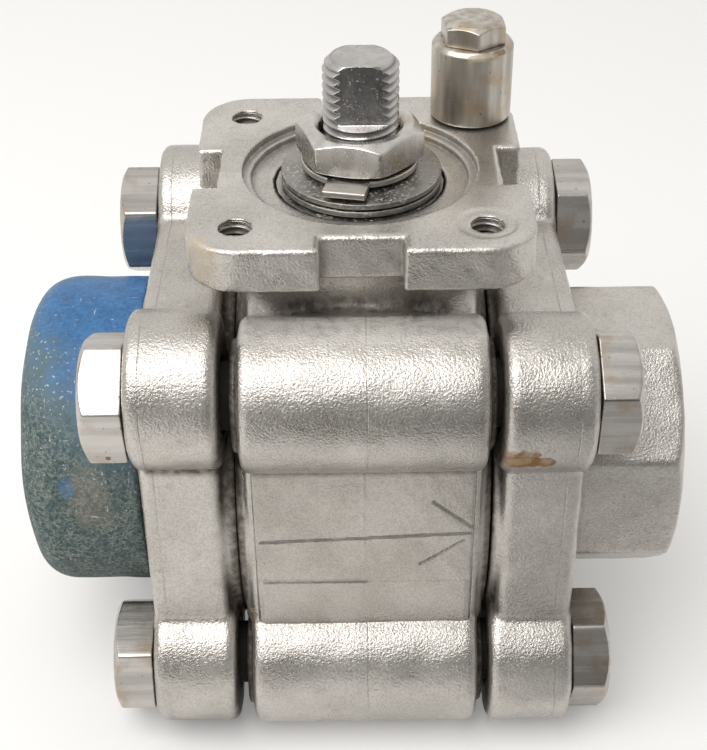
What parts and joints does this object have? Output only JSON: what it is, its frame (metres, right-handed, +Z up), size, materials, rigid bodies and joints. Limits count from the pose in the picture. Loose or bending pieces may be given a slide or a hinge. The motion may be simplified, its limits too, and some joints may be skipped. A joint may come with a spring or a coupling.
{
  "type": "ball valve",
  "caption": "Bolted split-body ball valve with octagon threaded ends, a direct-mount pad, a bare quarter-turn stem, a stop post and a plastic protective cap.",
  "frame": {"origin": "on the surface the valve stands on, under the middle of its bounding box", "axes": "+X along the pipe, away from the protective cap; +Y away from the pictured front; +Z up the stem"},
  "size_m": [0.1028, 0.0744, 0.104],
  "materials": {
    "cast_stainless": "bead-blasted investment casting, warm grey",
    "bolt_stainless": "drawn hexagon bar, fine lines",
    "stem_stainless": "rolled thread with polished flats",
    "ball_stainless": "polished",
    "spring_steel": "dull pressed steel",
    "stop_stainless": "turned steel, tarnished brown",
    "seat_polymer": "white seat polymer",
    "packing_polymer": "pale packing polymer",
    "seal_rubber": "black",
    "cap_plastic": "soft blue plastic, dirty lower half"
  },
  "bodies": {
    "valve_body": {"body": "cast_stainless", "end_cap_left": "cast_stainless", "end_cap_right": "cast_stainless", "seat_left": "seat_polymer", "seat_right": "seat_polymer", "body_seal_left": "seat_polymer", "body_seal_right": "seat_polymer", "stem_thrust_washer": "packing_polymer", "packing_lower": "packing_polymer", "packing_middle": "packing_polymer", "packing_upper": "packing_polymer", "gland_follower": "spring_steel", "stop_sleeve": "stop_stainless", "stop_screw": "stop_stainless", "bolt_left_front_lower": "bolt_stainless", "bolt_left_front_upper": "bolt_stainless", "bolt_left_back_lower": "bolt_stainless", "bolt_left_back_upper": "bolt_stainless", "bolt_right_front_lower": "bolt_stainless", "bolt_right_front_upper": "bolt_stainless", "bolt_right_back_lower": "bolt_stainless", "bolt_right_back_upper": "bolt_stainless"},
    "stem": {"stem": "stem_stainless", "stem_nut": "bolt_stainless", "tab_washer": "spring_steel", "disc_spring_lower": "spring_steel", "disc_spring_upper": "spring_steel", "stem_o_ring": "seal_rubber"},
    "ball": {"ball": "ball_stainless"},
    "protective_cap": {"protective_cap": "cap_plastic"}
  },
  "joints": [
    {"name": "ball_turn", "type": "hinge", "parent": "valve_body", "child": "ball", "pos_m": [0.00145, 0, 0.03725], "axis": [0, 0, -1], "range_deg": [0, 90]},
    {"name": "stem_turn", "type": "hinge", "parent": "valve_body", "child": "stem", "pos_m": [0.00145, 0, 0.08225], "axis": [0, 0, -1], "range_deg": [0, 90]},
    {"name": "cap_pull", "type": "slide", "parent": "valve_body", "child": "protective_cap", "axis": [-1, 0, 0], "range_m": [0, 0.03]}
  ],
  "couplings": [
    {"joint": "stem_turn", "follows": "ball_turn", "ratio": 1}
  ]
}
